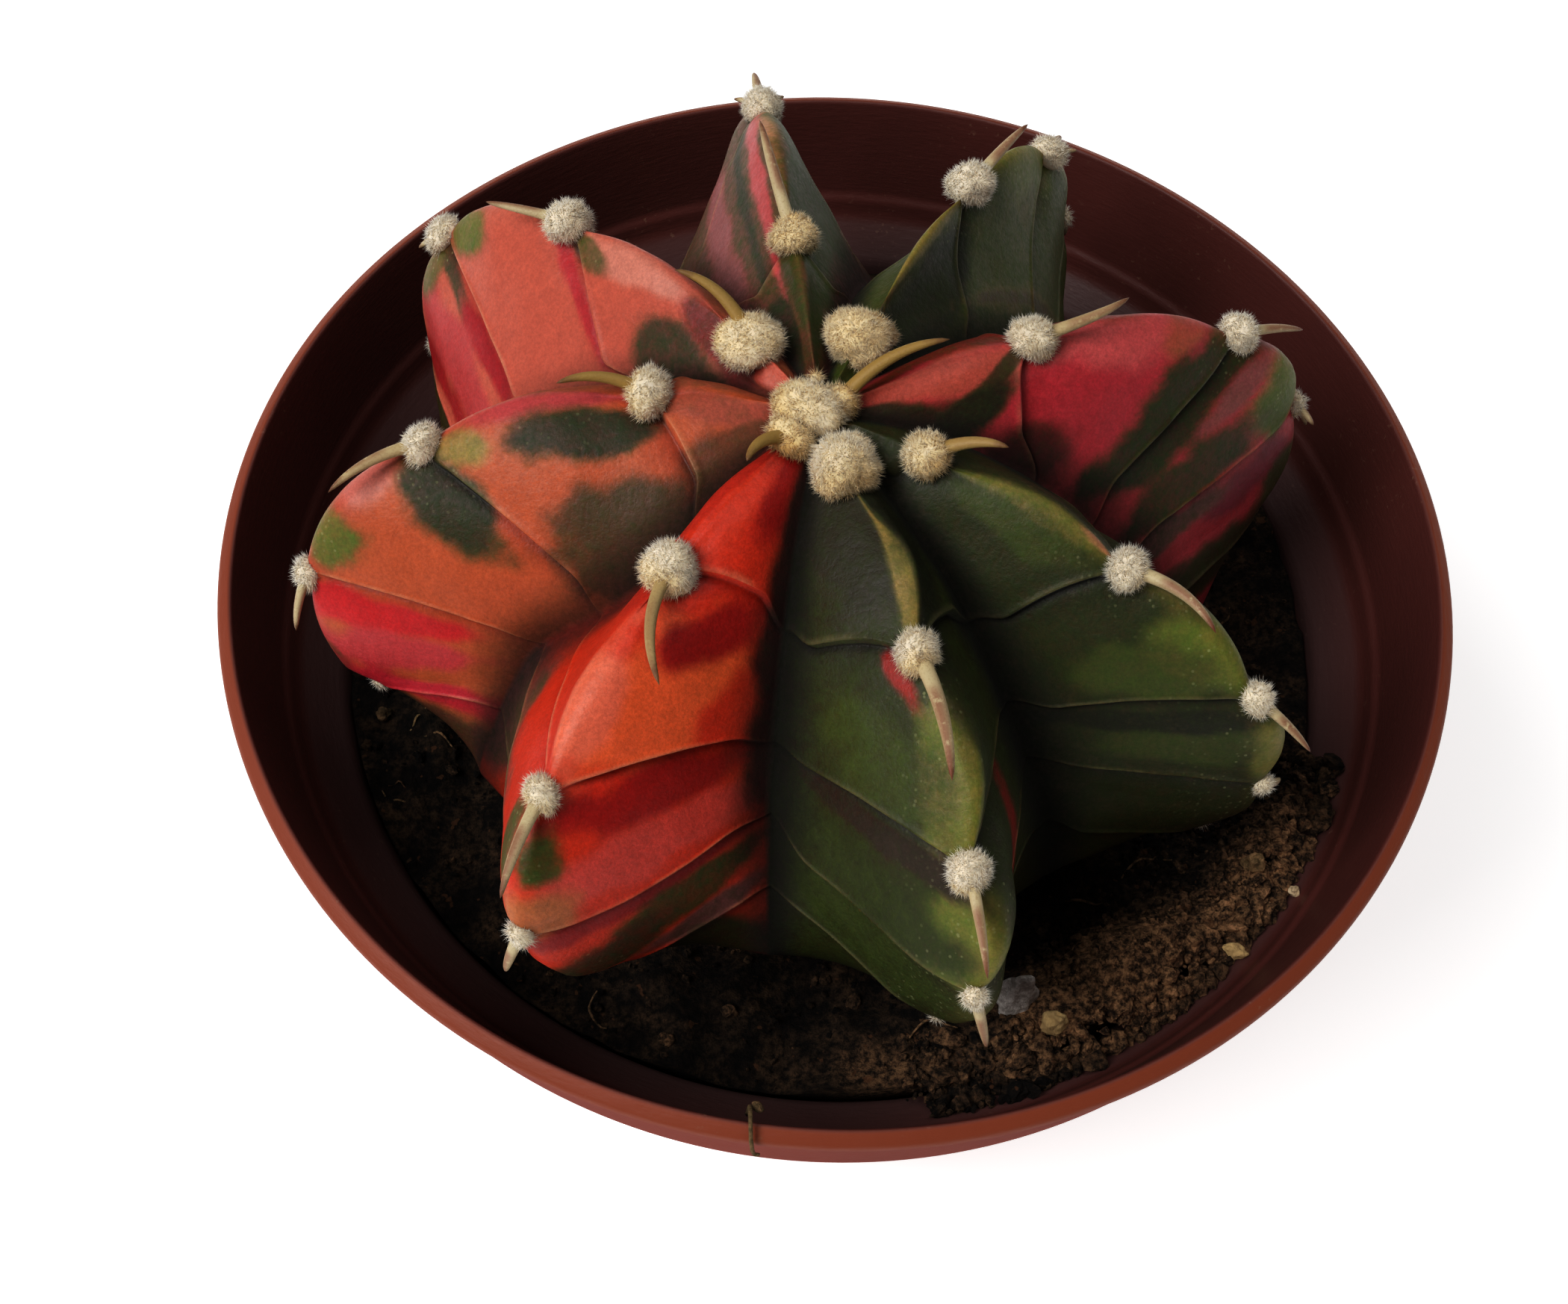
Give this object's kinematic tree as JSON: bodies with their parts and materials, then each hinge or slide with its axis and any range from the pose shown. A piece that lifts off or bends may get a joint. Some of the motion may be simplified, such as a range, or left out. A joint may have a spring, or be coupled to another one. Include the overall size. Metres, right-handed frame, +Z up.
{
  "type": "potted moon cactus",
  "caption": "Small variegated ribbed cactus with woolly areoles and curved spines, growing in soil in a round flared-collar nursery pot.",
  "frame": {"origin": "centre of the pot's foot, on the surface that it stands on", "axes": "+Z up along the pot's axis, +X to the right and -Y towards the viewer of the picture"},
  "size_m": [0.065, 0.065, 0.06],
  "materials": {
    "pot": "reddish brown moulded plastic, low gloss",
    "soil": "dark peaty potting soil, dry crumbs",
    "cactus_skin": "waxy green skin with orange, pink and red patches"
  },
  "bodies": {
    "root": {"pot": "pot", "soil": "soil", "cactus": "cactus_skin"}
  },
  "joints": []
}
